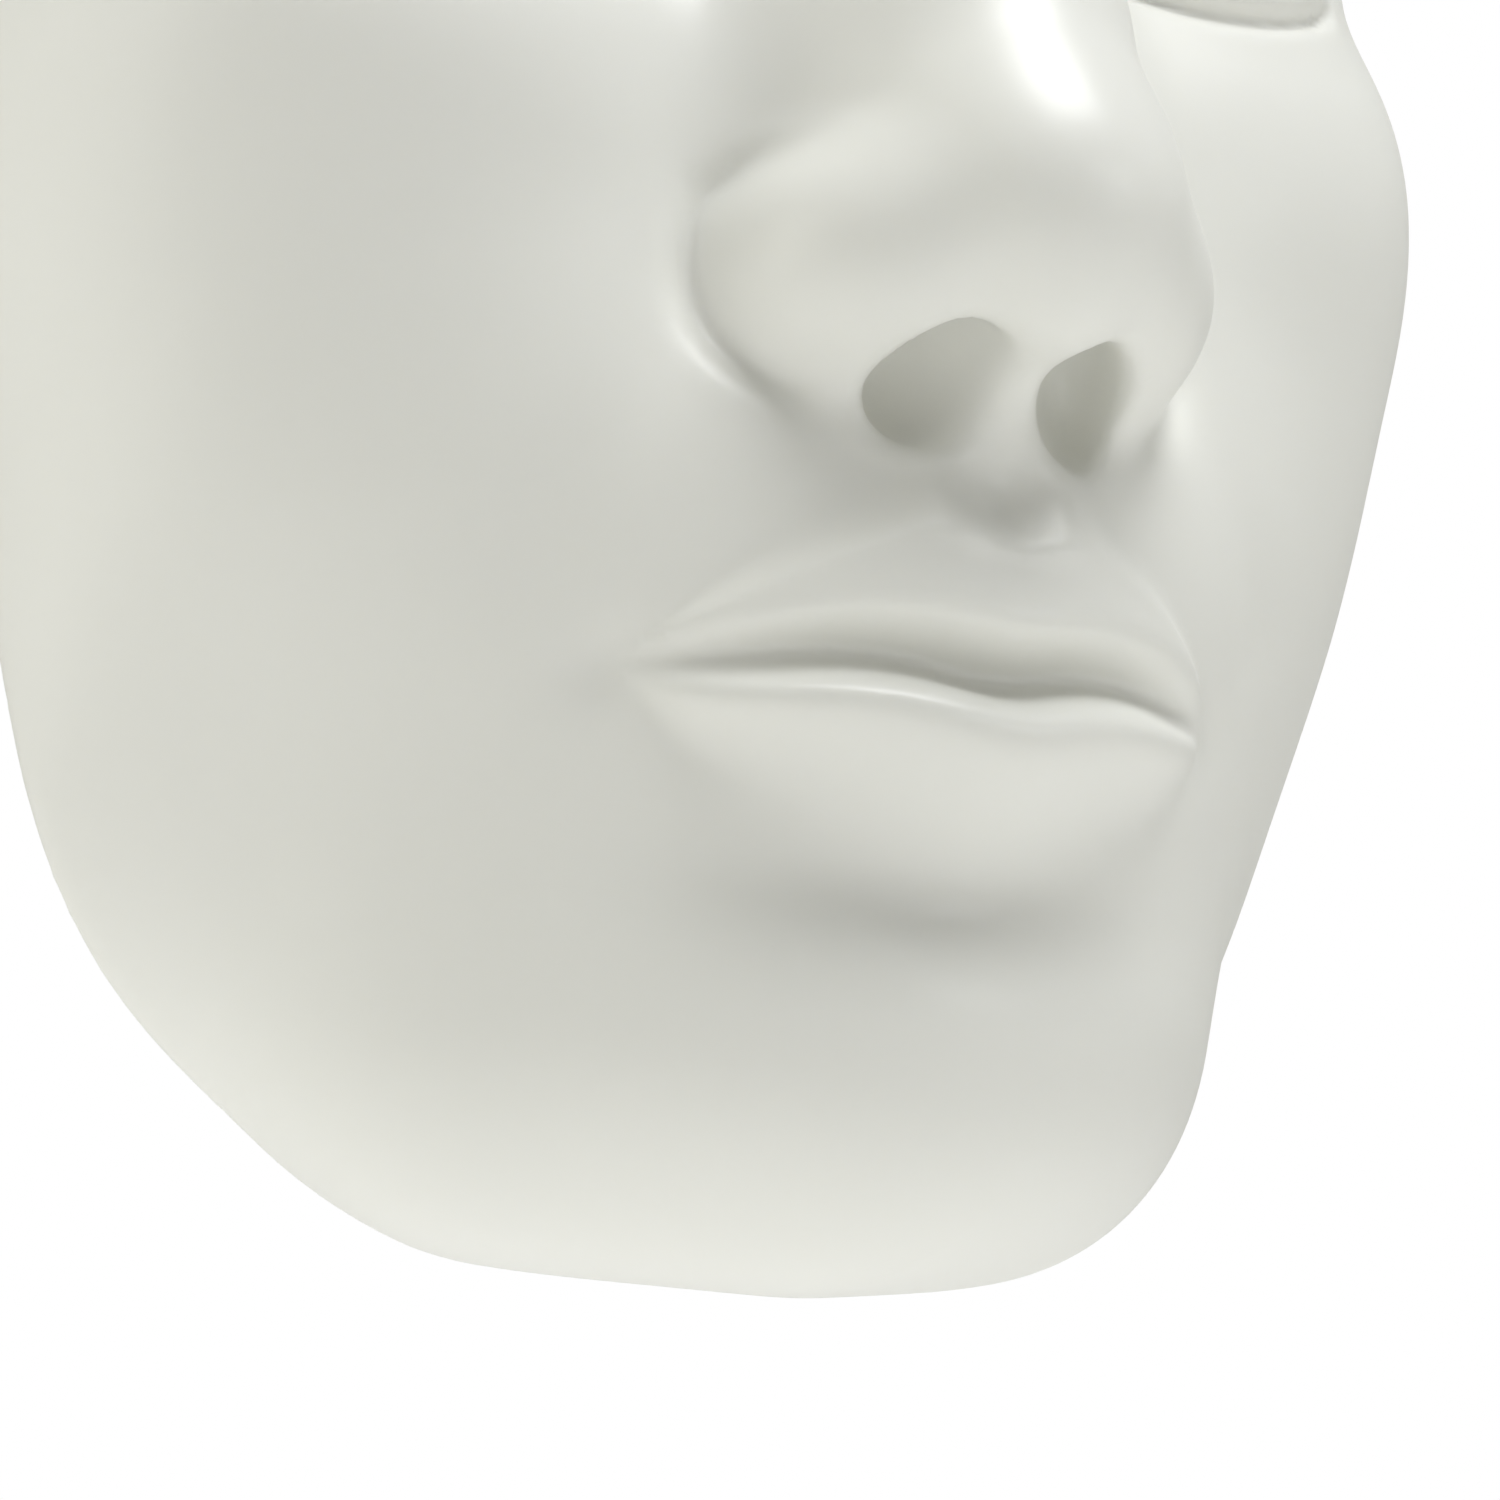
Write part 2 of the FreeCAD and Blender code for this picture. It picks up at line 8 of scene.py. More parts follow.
import bpy
import numpy as np
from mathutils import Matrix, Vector


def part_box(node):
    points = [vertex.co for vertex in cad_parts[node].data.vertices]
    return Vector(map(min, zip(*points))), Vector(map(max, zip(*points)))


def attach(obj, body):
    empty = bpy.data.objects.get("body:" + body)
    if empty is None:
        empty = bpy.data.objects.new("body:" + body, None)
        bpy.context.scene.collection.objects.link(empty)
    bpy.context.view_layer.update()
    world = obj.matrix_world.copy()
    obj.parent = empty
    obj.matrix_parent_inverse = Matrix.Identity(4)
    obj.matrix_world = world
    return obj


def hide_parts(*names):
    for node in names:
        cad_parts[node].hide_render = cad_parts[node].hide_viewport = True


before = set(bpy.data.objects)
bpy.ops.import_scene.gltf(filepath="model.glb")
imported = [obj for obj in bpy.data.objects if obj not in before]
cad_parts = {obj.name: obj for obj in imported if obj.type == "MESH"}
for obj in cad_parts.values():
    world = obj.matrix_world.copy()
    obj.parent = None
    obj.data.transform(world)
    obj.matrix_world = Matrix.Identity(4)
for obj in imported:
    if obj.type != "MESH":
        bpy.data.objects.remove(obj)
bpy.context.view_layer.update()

MM = 0.001
BODY = "root"

# ---- sizes, in millimetres -----------------------------------------------------------------------------

HANG_HEIGHT = 145.0
WALL = 3.5
FLANGE_WIDTH, FLANGE_DEPTH = 9.5, 5.0
MOUTH, NOSE_BASE, EYE_LINE, BROW = 43.6, 62.0, 109.5, 124.0
EYE_OUT = 31.5
SETBACK = 33.0  # the face's masses are placed from the plane of the ears, this far behind the back rim
CELL = 1.35  # mesh size of the shell, halved over the features
BOND_CELL = 0.6  # mesh size of the resin lumps
SHELL_SPACE = (-74, -3, -5), (74, 75, 214)  # opposite corners of the space that holds the shell
FLANGE_ROUND = 3.0  # where the inside of the wall meets the flange
RIM_ROUND, LIP_ROUND = 4.0, 2.4  # the back rim's outer edge, and the edges of the flange's opening
PAINTED = 1.6  # nothing deeper in from the face than this is lacquered, apart from the flange
BOND_INSET = 0.5  # how far in the resin lumps are set from the CAD's size, before their waves
BOND_SINK = 0.8  # how far the resin lumps reach into the wall
BLOCK = 6  # the grids are searched for the surface in cubes of this many cells a side


# ---- camera --------------------------------------------------------------------------------------------

def make_camera():
    """A long lens from slightly below and to the mask's right, close on the lower face."""
    turn, rise = math.radians(-29.0), math.radians(-12.0)
    away = Vector((math.sin(turn) * math.cos(rise), -math.cos(turn) * math.cos(rise), math.sin(rise)))
    distance, across = 0.32, 0.112
    aim = Vector((-0.0095, -0.033, -HANG_HEIGHT * MM + 0.0400))
    data = bpy.data.cameras.new("camera")
    data.lens = data.sensor_width * distance / across
    data.clip_start, data.clip_end = 0.05, 20.0
    camera = bpy.data.objects.new("camera", data)
    camera.location = aim + away * distance
    camera.rotation_mode = "QUATERNION"
    camera.rotation_quaternion = (-away).to_track_quat("-Z", "Y")
    bpy.context.scene.collection.objects.link(camera)
    bpy.context.scene.camera = camera


# ---- fields --------------------------------------------------------------------------------------------
# A field is about the distance to a surface, negative inside. A place is an array of rows x, f and h.

def joined(a, b, blend):
    """Two masses run together, with a fillet about as wide as blend."""
    near = np.maximum(blend - np.abs(a - b), 0.0) / blend
    return np.minimum(a, b) - near * near * blend / 4.0


def carved(a, tool, blend):
    """A mass with a tool taken away, its edge rounded."""
    return -joined(-a, tool, blend)


def ball(place, centre, radii, turn=0.0, tip=0.0):
    """An ellipsoid, turned about the vertical and then tipped about x, in degrees."""
    x, f, h = place[0] - centre[0], place[1] - centre[1], place[2] - centre[2]
    c, s = math.cos(math.radians(turn)), math.sin(math.radians(turn))
    x, f = x * c + f * s, f * c - x * s
    c, s = math.cos(math.radians(tip)), math.sin(math.radians(tip))
    f, h = f * c + h * s, h * c - f * s
    a, b, c = radii
    near = np.sqrt((x / a) ** 2 + (f / b) ** 2 + (h / c) ** 2)
    slope = np.sqrt((x / a ** 2) ** 2 + (f / b ** 2) ** 2 + (h / c ** 2) ** 2)
    return near * (near - 1.0) / np.maximum(slope, 1e-9)


def limb(place, start, end, start_radius=0.0, end_radius=0.0):
    """A tapered rod with round ends."""
    along = np.subtract(end, start).astype(float)
    away = [place[i] - start[i] for i in range(3)]
    share = np.clip(sum(away[i] * along[i] for i in range(3)) / (along @ along), 0, 1)
    gap = np.sqrt(sum((away[i] - share * along[i]) ** 2 for i in range(3)))
    return gap - start_radius - (end_radius - start_radius) * share


def bell(value, width):
    """A hump over zero, 1 in its middle."""
    return np.exp(-((value / width) ** 2))


def spot(place, centre, radii):
    """A soft round brush stroke, 1 in its middle."""
    return np.exp(-sum(((place[i] - centre[i]) / radii[i]) ** 2 for i in range(3)))


def ramp(value, start, end):
    """0 before start, 1 past end, smooth between."""
    share = np.clip((value - start) / (end - start), 0, 1)
    return share * share * (3 - 2 * share)


# ---- the face ------------------------------------------------------------------------------------------

def head_form(p):
    """Skull, cheeks, jaw and chin, with no features."""
    d = ball(p, (0, -6, 134), (70, 86, 71))
    d = joined(d, ball(p, (0, 14, 92), (60, 63, 62)), 26)
    d = joined(d, ball(p, (0, 18, 150), (57, 54, 50)), 22)
    d = joined(d, ball(p, (27, 20, 132), (36, 40, 48)), 24)
    d = joined(d, ball(p, (0, 2, 64), (55, 58, 48)), 26)
    d = joined(d, ball(p, (0, 34, 34), (26, 32, 22.5)), 18)
    d = joined(d, ball(p, (30, 42, 68), (26, 27, 28)), 26)
    d = joined(d, ball(p, (36, 8, 68), (23, 36, 36)), 26)
    jaw = limb(p, (0, 57, 20), (21, 48, 21), 16, 14.5)
    jaw = joined(jaw, limb(p, (21, 48, 21), (36, 26, 36), 14.5, 13.5), 10)
    jaw = joined(jaw, limb(p, (36, 26, 36), (43, 0, 50), 13.5, 11), 10)
    d = joined(d, jaw, 24)
    d = joined(d, ball(p, (0, 62, 21), (24, 18.5, 16)), 14)
    d = joined(d, ball(p, (0, 51, 54), (33, 34, 26)), 20)
    d = joined(d, ball(p, (41, 41, 92), (20, 24, 16)), 24)
    return joined(d, limb(p, (46, 34, 94), (54, 2, 98), 7, 6), 30)


def brow_and_eyes(p, d):
    """Brow ridge, eye sockets, the soft rise under them, and the closed eyes."""
    d = joined(d, ball(p, (0, 65, BROW + 3), (18, 14, 14)), 14)
    d = joined(d, limb(p, (12, 68, BROW), (46, 50, BROW + 5), 6, 4.5), 22)
    d = carved(d, ball(p, (EYE_OUT + 1.5, 90, EYE_LINE + 2.5), (24, 24, 14.5), turn=-16), 18)
    d = joined(d, ball(p, (EYE_OUT + 2.5, 50, EYE_LINE - 13.5), (17, 20, 11)), 18)
    return joined(d, ball(p, (EYE_OUT, 56.5, EYE_LINE), (16.5, 14.6, 13.6)), 8)


def nose(p, d):
    """Bridge, tip, wings and blind nostrils."""
    bridge = limb(p, (0, 69, 114), (0, 88.5, 82), 5.4, 6.6)
    bridge = joined(bridge, ball(p, (0, 75, 85), (13.5, 15, 24), tip=-28), 15)
    bridge = joined(bridge, ball(p, (0, 92, NOSE_BASE + 13.2), (10.4, 10, 9.2)), 10)
    bridge = joined(bridge, limb(p, (0, 92.5, NOSE_BASE + 7.5), (0, 84.5, NOSE_BASE + 3.8), 3.6, 3.8), 5)
    d = joined(d, bridge, 10)
    d = joined(d, ball(p, (11.8, 84, NOSE_BASE + 10.6), (7, 10.8, 7.8), turn=16), 5)
    crease = bell(ball(p, (12, 84, NOSE_BASE + 10.6), (9.6, 13, 10), turn=16), 1.8)
    d = d + 0.8 * crease * ramp(p[0], 13, 17) * ramp(84 - p[2], 0, 6)
    return carved(d, ball(p, (6.7, 86.6, NOSE_BASE + 2.4), (2.9, 6.2, 5.2), turn=22), 2.5)


def soft_strokes(p, d):
    """The shallow hollows under the lower lip, beside the mouth and nose, and at the temples."""
    d = d + 2.0 * spot(p, (0, 80, 27), (19, 30, 5.5))
    d = d + 0.8 * spot(p, (26, 71, 43), (3.2, 30, 3.6))
    d = d + 0.7 * spot(p, (0, 88, 57), (3.4, 30, 5.5)) - 0.35 * spot(p, (5.8, 88, 56), (3, 30, 6))
    d = d + 0.7 * bell(limb(p, (21, 78, 69), (29.5, 72, 52)), 5)
    return d + 0.7 * spot(p, (66, 40, 134), (20, 30, 24))


def lips(p, d):
    """The closed lips, raised off the face around a tucked-in mouth line."""
    x, f, h = p
    across = np.clip(x / 25.5, 0, 1)
    full = 1 - across ** 2
    line = MOUTH - 0.9 * bell(x, 5) + 0.5 * bell(x - 12, 6) - 0.3 * across
    away, above = np.abs(h - line), h > line
    tall = 8.8 * (1 - across ** 1.5) ** 0.9 + 0.8 * bell(x - 6.5, 4) - 0.5 * bell(x, 4)
    upper = away / np.maximum(tall, 0.8)
    height = 3.9 * full ** 0.8 * (1 - 0.4 * ramp(upper, 0.2, 1.3)) * bell(np.maximum(upper - 1, 0), 0.45)
    height = (height + 0.6 * bell(x, 4.5) * bell(upper - 0.3, 0.4)) * (1 - bell(away, 1.9))
    height = height + 0.2 * bell(away - tall, 1.3) * full
    lower = away / np.maximum(10.4 * full ** 0.75, 0.8)
    depth = 4.9 * full ** 0.65 * bell(np.maximum(lower - 0.42, 0), 0.55) * (1 - bell(away, 2.6))
    return d - np.where(above, height, depth) * ramp(f, 50, 66)


def lids(p, d):
    """The line where each pair of lids meets, and the fold above it."""
    across, h = (p[0] - EYE_OUT) / 15.5, p[2] - EYE_LINE
    span = ramp(1.1 - np.abs(across), 0, 0.35) * ramp(p[1], 45, 56)
    line = -2.1 + across - 4.0 * (1 - across ** 2)
    fold = 4.0 + 0.8 * across + 5.0 * (1 - across ** 2)
    d = d + 1.0 * bell(h - line, 1.1) * span
    d = d - 0.5 * bell(h - line - 2.6, 1.8) * span
    return d + 0.9 * bell(h - fold, 1.7) * span


def on_canon(place):
    """The same places on the right half, measured from the plane of the ears, the cheeks' sides drawn in."""
    x = np.hypot(place[0], 2.0)
    return np.array([x * (1 + 0.085 * ramp(x, 26, 70)), place[1] + SETBACK, place[2]])


def face(place):
    """The outside of the mask."""
    p = on_canon(place)
    return lids(p, lips(p, soft_strokes(p, nose(p, brow_and_eyes(p, head_form(p))))))


def hollow(place, wall):
    """The inside of the mask: a plainer face, a wall's thickness in, with a channel up the nose."""
    p = on_canon(place)
    d = brow_and_eyes(p, head_form(p)) + 1.5 * spot(p, (0, 80, 27), (19, 30, 5.5))
    d = d + 3.0 * spot(p, (7, 82, NOSE_BASE + 5), (11, 9, 11))
    return joined(d + wall, limb(p, (0, 60, 112), (0, 80, 84), 3, 5), 10)


def laid_up(place):
    """The uneven inner face of a hand-laid shell, in millimetres."""
    x, f, h = place
    wave = np.sin(x / 5.1 + 0.6 * np.sin(h / 7.3)) * np.sin(h / 6.2 + 0.8 * np.sin(f / 8.1))
    fine = np.sin(x / 2.3 + f / 3.9) * np.sin(h / 2.7 - f / 3.1)
    return 0.22 * wave + 0.07 * fine


def shell(place):
    """The moulded wall: the face, less its hollow and the opening through the flange, cut at the back."""
    f = place[1]
    deep = carved(hollow(place, WALL) + laid_up(place), f - FLANGE_DEPTH, FLANGE_ROUND)
    opening = carved(hollow(place, FLANGE_WIDTH), FLANGE_DEPTH + FLANGE_ROUND - f, 0.5)
    cavity = joined(deep, opening, LIP_ROUND)
    return carved(carved(face(place), f, RIM_ROUND), cavity, LIP_ROUND)


# ---- meshes from fields --------------------------------------------------------------------------------

CORNERS = [(i, j, k) for i in (0, 1) for j in (0, 1) for k in (0, 1)]


def sampled(field, places, batch=400000):
    """A field's values at many places, in batches that fit in memory."""
    return np.concatenate([field(places[:, i:i + batch]) for i in range(0, places.shape[1], batch)])


def slope(field, places, step=0.05):
    """The field's gradient."""
    steps = np.eye(3)[:, :, None] * step
    return np.array([sampled(field, places + s) - sampled(field, places - s) for s in steps]) / (2 * step)


def band_values(field, low, cells, cell):
    """The field on a grid: exact near the surface, and only its sign elsewhere."""
    blocks = cells // BLOCK
    coarse = np.indices(blocks + 1).reshape(3, -1) * cell * BLOCK + low[:, None]
    rough = sampled(field, coarse).reshape(blocks + 1)
    near = np.zeros(blocks, bool)
    for i, j, k in CORNERS:
        near |= np.abs(rough[i:blocks[0] + i, j:blocks[1] + j, k:blocks[2] + k]) < 2.2 * cell * BLOCK
    spread = np.ones((BLOCK,) * 3)
    values = np.full(cells + 1, 1e3)
    values[:-1, :-1, :-1] = np.kron(rough[:-1, :-1, :-1], spread)
    wanted = np.zeros(cells + 1, bool)
    fine = np.kron(near, spread).astype(bool)
    for i, j, k in CORNERS:
        wanted[i:cells[0] + i, j:cells[1] + j, k:cells[2] + k] |= fine
    values[wanted] = sampled(field, low[:, None] + np.argwhere(wanted).T * cell)
    return values


def cell_points(values, cells, low, cell):
    """One vertex in each cell that the surface crosses, at the middle of its edge crossings."""
    inside = values < 0
    count = sum(inside[i:cells[0] + i, j:cells[1] + j, k:cells[2] + k].astype(int) for i, j, k in CORNERS)
    crossed = (count > 0) & (count < 8)
    place = np.argwhere(crossed)
    number = np.full(cells, -1)
    number[crossed] = np.arange(len(place))
    total, hits = np.zeros((len(place), 3)), np.zeros(len(place))
    for start in CORNERS:
        for axis in (0, 1, 2):
            if start[axis]:
                continue
            end = np.array(start) + np.eye(3, dtype=int)[axis]
            a, b = values[tuple((place + start).T)], values[tuple((place + end).T)]
            cut = (a < 0) != (b < 0)
            point = np.tile(np.array(start, float), (len(place), 1))
            point[:, axis] = np.where(cut, a / np.where(cut, a - b, 1), 0)
            total += point * cut[:, None]
            hits += cut
    return low + (place + total / hits[:, None]) * cell, number


def ring_quads(values, cells, number):
    """The four-sided faces, one round each grid edge that the surface crosses."""
    inside, quads = values < 0, []
    for axis in (0, 1, 2):
        before = [slice(1, n) for n in cells]
        after = list(before)
        before[axis], after[axis] = slice(0, cells[axis]), slice(1, cells[axis] + 1)
        first = inside[tuple(before)]
        where = np.argwhere(first != inside[tuple(after)])
        u, v = np.eye(3, dtype=int)[(axis + 1) % 3], np.eye(3, dtype=int)[(axis + 2) % 3]
        at = where + u + v
        ring = np.stack([number[tuple((at - away).T)] for away in (u + v, v, 0 * u, u)], 1)
        leaving = first[tuple(where.T)]
        quads.append(np.where(leaving[:, None], ring, ring[:, ::-1]))
    return np.concatenate(quads)


def split_quads(points, quads, chosen):
    """The chosen quads cut in four. Their neighbours take the new midpoints, so the mesh stays closed."""
    sides = np.stack([quads, np.roll(quads, -1, 1)], 2)
    cut = np.unique(np.sort(sides[chosen].reshape(-1, 2), 1), axis=0)
    middle = {(a, b): len(points) + i for i, (a, b) in enumerate(cut.tolist())}
    centres = points[quads[chosen]].mean(1)
    first_centre = len(points) + len(cut)
    faces, done = [], 0
    for ring, split in zip(quads.tolist(), chosen.tolist()):
        pairs = [(ring[i], ring[(i + 1) % 4]) for i in range(4)]
        mids = [middle.get((min(pair), max(pair))) for pair in pairs]
        if split:
            centre = first_centre + done
            done += 1
            faces += [[ring[i], mids[i], centre, mids[i - 1]] for i in range(4)]
        else:
            faces.append([v for pair in zip(ring, mids) for v in pair if v is not None])
    return np.concatenate([points, points[cut].mean(1), centres]), faces


def settled(field, points, rounds):
    """The points moved onto the surface."""
    p = points.T.copy()
    for _ in range(rounds):
        g = slope(field, p)
        p -= np.clip(sampled(field, p) / np.maximum((g ** 2).sum(0), 0.15), -1.5, 1.5) * g
    return p.T


def evened(field, points, faces, rounds=2):
    """The points spread evenly over the surface."""
    starts = np.concatenate(faces)
    ends = np.concatenate([np.roll(ring, -1) for ring in faces])
    links = np.unique(np.sort(np.stack([starts, ends], 1), 1), axis=0)
    a, b = np.concatenate([links, links[:, ::-1]]).T
    count = np.bincount(a, minlength=len(points))[:, None]
    for _ in range(rounds):
        total = np.stack([np.bincount(a, points[b, k], len(points)) for k in range(3)], 1)
        points = settled(field, points + 0.5 * (total / count - points), 2)
    return points


def field_mesh(name, field, low, high, cell, finer=None):
    """A closed smooth mesh of the field's surface, in the row frame.

    finer picks the quads, by their middles, that are cut in four.
    """
    low = np.array(low, float)
    cells = (np.ceil((np.array(high) - low) / cell / BLOCK) * BLOCK).astype(int)
    values = band_values(field, low, cells, cell)
    points, number = cell_points(values, cells, low, cell)
    quads = ring_quads(values, cells, number)
    faces = quads.tolist()
    points = settled(field, points, 3)
    if finer is not None:
        points, faces = split_quads(points, quads, finer(points[quads].mean(1).T))
    points = evened(field, points, faces)
    normals = slope(field, points.T)
    normals = normals / np.linalg.norm(normals, axis=0)
    mesh = bpy.data.meshes.new(name)
    mesh.from_pydata(to_row(points).tolist(), [], [ring[::-1] for ring in faces])
    mesh.polygons.foreach_set("use_smooth", [True] * len(faces))
    mesh.normals_split_custom_set_from_vertices(np.stack([normals[0], -normals[1], normals[2]], 1).tolist())
    piece = bpy.data.objects.new(name, mesh)
    bpy.context.scene.collection.objects.link(piece)
    return piece


def to_row(points):
    """Places in the face's millimetres, as row frame places in metres."""
    return np.stack([points[:, 0], -points[:, 1], points[:, 2] - HANG_HEIGHT], 1) * MM


# ---- materials -----------------------------------------------------------------------------------------

def new_material(name, colour, roughness, **settings):
    """A Principled material with its plain values set on the shader itself."""
    material = bpy.data.materials.new(name)
    material.use_nodes = True
    shader = material.node_tree.nodes["Principled BSDF"]
    shader.inputs["Base Color"].default_value = (*colour, 1.0)
    shader.inputs["Roughness"].default_value = roughness
    for socket, value in settings.items():
        shader.inputs[socket.replace("_", " ")].default_value = value
    return material, shader


def noise(material, scale, detail=3.0, stretch=(1, 1, 1)):
    """A noise texture over the object, in metres, drawn out along the axes that stretch makes smaller."""
    nodes, links = material.node_tree.nodes, material.node_tree.links
    place, mapping, texture = (nodes.new(f"ShaderNode{n}") for n in ("TexCoord", "Mapping", "TexNoise"))
    mapping.inputs["Scale"].default_value = stretch
    texture.inputs["Scale"].default_value = scale
    texture.inputs["Detail"].default_value = detail
    links.new(place.outputs["Object"], mapping.inputs["Vector"])
    links.new(mapping.outputs["Vector"], texture.inputs["Vector"])
    return texture.outputs["Fac"]


def mix_colours(material, shader, value, stops):
    """Base colour taken along a ramp of (position, colour) stops."""
    ramp_node = material.node_tree.nodes.new("ShaderNodeValToRGB")
    band = ramp_node.color_ramp
    while len(band.elements) < len(stops):
        band.elements.new(0.5)
    for element, (position, colour) in zip(band.elements, stops):
        element.position = position
        element.color = (*colour, 1.0)
    material.node_tree.links.new(value, ramp_node.inputs["Fac"])
    material.node_tree.links.new(ramp_node.outputs["Color"], shader.inputs["Base Color"])


def vary_roughness(material, shader, value, low, high):
    """Roughness between low and high, following a texture."""
    spread = material.node_tree.nodes.new("ShaderNodeMapRange")
    spread.inputs["From Min"].default_value = 0.3
    spread.inputs["From Max"].default_value = 0.7
    spread.inputs["To Min"].default_value = low
    spread.inputs["To Max"].default_value = high
    material.node_tree.links.new(value, spread.inputs["Value"])
    material.node_tree.links.new(spread.outputs["Result"], shader.inputs["Roughness"])


def add_bump(material, shader, value, height, strength):
    """Relief of that height, in metres, following a texture."""
    bump = material.node_tree.nodes.new("ShaderNodeBump")
    bump.inputs["Strength"].default_value = strength
    bump.inputs["Distance"].default_value = height
    material.node_tree.links.new(value, bump.inputs["Height"])
    material.node_tree.links.new(bump.outputs["Normal"], shader.inputs["Normal"])


def lacquer():
    """Satin white lacquer, faintly warm, with light that sinks in a little."""
    material, shader = new_material(
        "shell_lacquer", (0.77, 0.768, 0.725), 0.36,
        Subsurface_Weight=0.12, Subsurface_Radius=(1.0, 0.95, 0.8), Subsurface_Scale=0.004)
    mix_colours(
        material, shader, noise(material, 9.0),
        [(0.3, (0.765, 0.764, 0.716)), (0.7, (0.78, 0.778, 0.734))])
    vary_roughness(material, shader, noise(material, 45.0, 2.0), 0.34, 0.40)
    return material


def raw_inside():
    """The unpainted inside of the shell: dull casting resin with a little mottling."""
    material, shader = new_material("shell_inside", (0.66, 0.645, 0.59), 0.72)
    mix_colours(
        material, shader, noise(material, 130.0, 6.0),
        [(0.32, (0.60, 0.585, 0.53)), (0.5, (0.65, 0.638, 0.585)), (0.68, (0.69, 0.68, 0.632))])
    vary_roughness(material, shader, noise(material, 60.0, 2.0), 0.62, 0.8)
    add_bump(material, shader, noise(material, 700.0, 4.0), 0.0002, 0.5)
    return material


def wood():
    """Planed softwood, its grain along the brace."""
    material, shader = new_material("brace_wood", (0.60, 0.42, 0.24), 0.6)
    grain = noise(material, 120.0, 5.0, (0.05, 1, 1))
    mix_colours(
        material, shader, grain,
        [(0.3, (0.37, 0.225, 0.11)), (0.48, (0.58, 0.40, 0.225)), (0.62, (0.66, 0.48, 0.29))])
    add_bump(material, shader, grain, 0.0002, 0.4)
    return material


def resin():
    """Set casting resin, mixed thick, a little glossy."""
    material, shader = new_material("bond_resin", (0.60, 0.585, 0.53), 0.42)
    mix_colours(
        material, shader, noise(material, 90.0, 4.0),
        [(0.3, (0.52, 0.505, 0.45)), (0.7, (0.68, 0.668, 0.62))])
    add_bump(material, shader, noise(material, 380.0, 3.0), 0.0003, 0.5)
    return material


def steel(name, colour, stretch):
    """Zinc-plated steel with fine brushing."""
    material, shader = new_material(name, colour, 0.34, Metallic=1.0)
    brushing = noise(material, 1500.0, 2.0, stretch)
    vary_roughness(material, shader, brushing, 0.26, 0.44)
    add_bump(material, shader, brushing, 0.00003, 0.4)
    return material


def rubber():
    """Soft grey rubber with a fine tooth."""
    material, shader = new_material("bumper_rubber", (0.075, 0.075, 0.08), 0.68)
    vary_roughness(material, shader, noise(material, 400.0, 2.0), 0.6, 0.78)
    add_bump(material, shader, noise(material, 2500.0, 2.0), 0.00005, 0.5)
    return material


# ---- the pieces ----------------------------------------------------------------------------------------

def finish_piece(piece, slot_name, *replaced):
    """Ties a new piece to the body and hides the CAD nodes it stands for."""
    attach(piece, BODY)
    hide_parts(*replaced)


def features(places):
    """Where the mesh is finer: the mouth, the nose, and the eyes with the folds above them."""
    x, f, h = np.abs(places[0]), places[1], places[2]
    mouth = (x < 30) & (h > 27) & (h < 58)
    nostrils = (x < 21) & (h >= 58) & (h < 86)
    eyes = (np.abs(x - EYE_OUT) < 20) & (h > 99) & (h < 123)
    return (f > 11) & (face(places) > -1.5) & (mouth | nostrils | eyes)


def make_shell():
    """The shell. Its lacquer goes round the rim and over the flange, and its inside is left unpainted."""
    piece = field_mesh("face_skin", shell, *SHELL_SPACE, CELL, features)
    for material in (lacquer(), raw_inside()):
        piece.data.materials.append(material)
    centres = np.zeros(len(piece.data.polygons) * 3)
    piece.data.polygons.foreach_get("center", centres)
    x, y, z = centres.reshape(-1, 3).T / MM
    places = np.array([x, -y, z + HANG_HEIGHT])
    behind = (face(places) < -PAINTED) & (places[1] > FLANGE_DEPTH - 1.0)
    unpainted = behind & (hollow(places, WALL) > -1.0)
    piece.data.polygons.foreach_set("material_index", unpainted.astype(np.int32))
    finish_piece(piece, "shell_lacquer", "face_shell")


def make_bond(name, side):
    """A lump of resin that holds one end of the brace to the wall."""
    low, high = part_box(name)
    middle, half = (low + high) / 2 / MM, (high - low) / 2 / MM
    centre = (middle.x, -middle.y, middle.z + HANG_HEIGHT)

    def lump(place):
        x, f, h = place
        wave = 0.5 * np.sin(x / 1.9 + side) * np.sin(f / 2.2)
        wave = wave + 0.35 * np.sin(h / 1.6 + side) * np.sin(f / 1.7)
        d = ball(place, centre, (half.x, half.y, half.z)) + wave + BOND_INSET
        return carved(d, -(hollow(place, WALL) - BOND_SINK), BOND_SINK)

    reach = np.array([half.x, half.y, half.z]) + 1.5
    piece = field_mesh(name + "_cast", lump, centre - reach, centre + reach, BOND_CELL)
    piece.data.materials.append(resin())
    finish_piece(piece, "bond_resin", name)


def dress_frame():
    """Materials for the CAD pieces that show."""
    looks = {
        "hanger_brace": wood(),
        "keyhole_plate": steel("plate_steel", (0.72, 0.73, 0.74), (0.03, 1, 1)),
        "plate_screws": steel("screw_steel", (0.62, 0.62, 0.63), (1, 1, 1)),
    }
    bumpers = rubber()
    for node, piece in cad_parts.items():
        material = bumpers if node.startswith("bumper") else looks.get(node)
        if material:
            piece.data.materials.clear()
            piece.data.materials.append(material)


# ---- room and lights -----------------------------------------------------------------------------------

COOL_WHITE = (0.97, 0.985, 1.0)
WARM_WHITE = (1.0, 1.0, 0.93)
ROOM_FRONT, ROOM_WALL = 0.05, 0.46  # strength of the room's light from the front and from the wall side
LIGHT_AIM = Vector((0, -0.06, -0.06))  # a point in the middle of the face


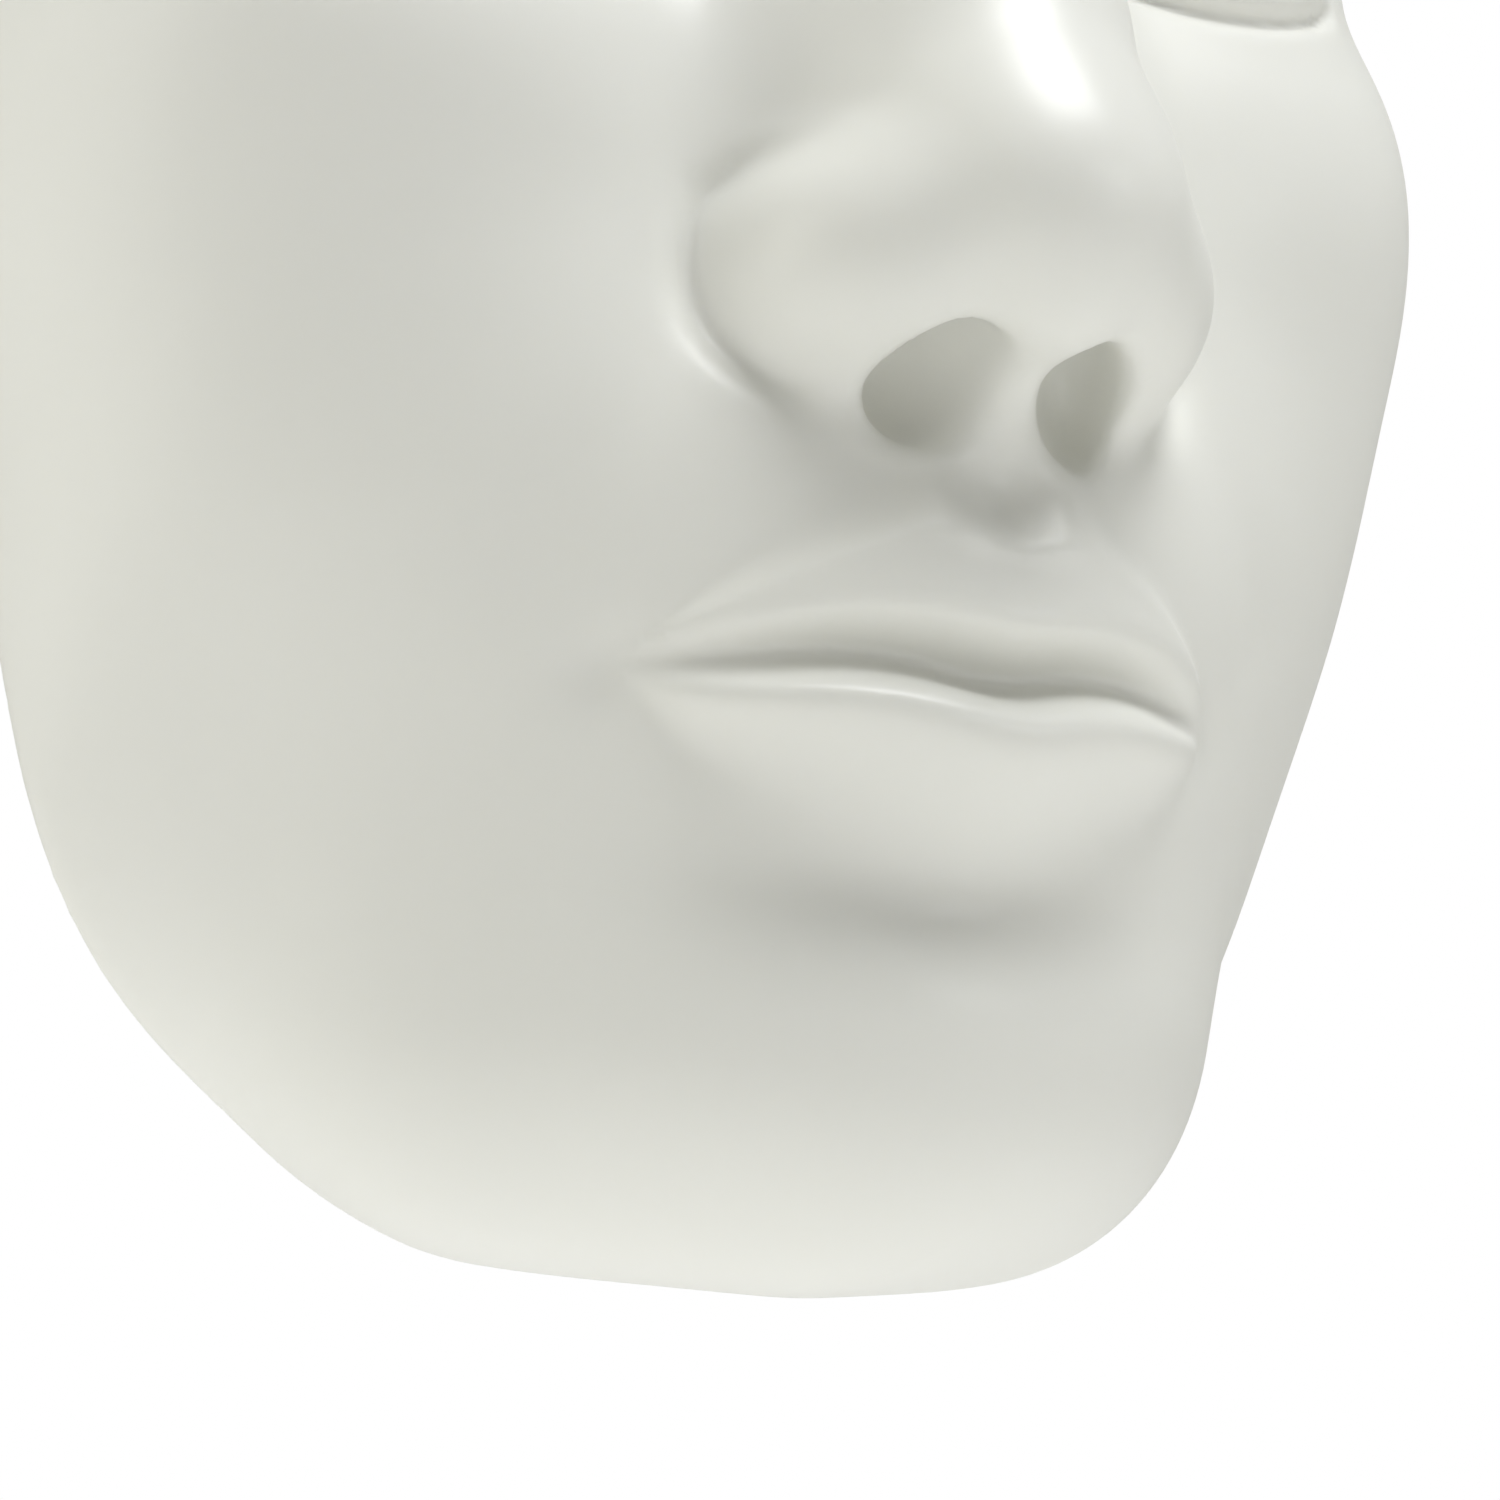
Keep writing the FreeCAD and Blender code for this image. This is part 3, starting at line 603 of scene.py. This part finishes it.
def make_floor():
    """A wide white floor below the mask, glowing a little so that it looks as white as the room."""
    mesh = bpy.data.meshes.new("floor")
    size, level = 20.0, -0.60
    corners = [(-size, -size), (size, -size), (size, size), (-size, size)]
    mesh.from_pydata([(x, y, level) for x, y in corners], [], [(0, 1, 2, 3)])
    floor = bpy.data.objects.new("floor", mesh)
    material, _ = new_material(
        "floor_white", (0.86, 0.86, 0.855), 0.8,
        Emission_Color=(1.0, 1.0, 1.0, 1.0), Emission_Strength=0.36)
    mesh.materials.append(material)
    bpy.context.scene.collection.objects.link(floor)


def make_world():
    """A white room: plain white to look at, its light stronger from the wall side than from the front."""
    world = bpy.data.worlds.new("room")
    bpy.context.scene.world = world
    world.use_nodes = True
    nodes, links = world.node_tree.nodes, world.node_tree.links
    lit = nodes["Background"]
    seen, mix, path = (nodes.new(f"ShaderNode{n}") for n in ("Background", "MixShader", "LightPath"))
    place, split, spread = (nodes.new(f"ShaderNode{n}") for n in ("TexCoord", "SeparateXYZ", "MapRange"))
    spread.inputs["From Min"].default_value = -0.9
    spread.inputs["From Max"].default_value = 0.3
    spread.inputs["To Min"].default_value = ROOM_FRONT
    spread.inputs["To Max"].default_value = ROOM_WALL
    links.new(place.outputs["Generated"], split.inputs["Vector"])
    links.new(split.outputs["Y"], spread.inputs["Value"])
    links.new(spread.outputs["Result"], lit.inputs["Strength"])
    lit.inputs["Color"].default_value = (1.0, 1.0, 0.94, 1.0)
    seen.inputs["Color"].default_value = (1.0, 1.0, 1.0, 1.0)
    links.new(path.outputs["Is Camera Ray"], mix.inputs["Fac"])
    links.new(lit.outputs["Background"], mix.inputs[1])
    links.new(seen.outputs["Background"], mix.inputs[2])
    links.new(mix.outputs["Shader"], nodes["World Output"].inputs["Surface"])


def soft_box(name, place, size, power, colour):
    """A square studio light turned towards the mask."""
    data = bpy.data.lights.new(name, "AREA")
    data.size = size
    data.energy = power
    data.color = colour
    light = bpy.data.objects.new(name, data)
    light.location = place
    light.rotation_mode = "QUATERNION"
    light.rotation_quaternion = (LIGHT_AIM - Vector(place)).to_track_quat("-Z", "Y")
    bpy.context.scene.collection.objects.link(light)


make_camera()
make_shell()
make_bond("brace_bond_left", 0.0)
make_bond("brace_bond_right", 2.0)
dress_frame()
make_floor()
make_world()
soft_box("key", (0.15, -0.55, 1.15), 0.7, 17.0, COOL_WHITE)
soft_box("low_front", (0.6, -1.0, 0.15), 0.4, 1.3, COOL_WHITE)
soft_box("fill", (-1.0, 0.3, 0.15), 0.8, 3.6, WARM_WHITE)
bpy.context.scene.view_settings.view_transform = "Standard"
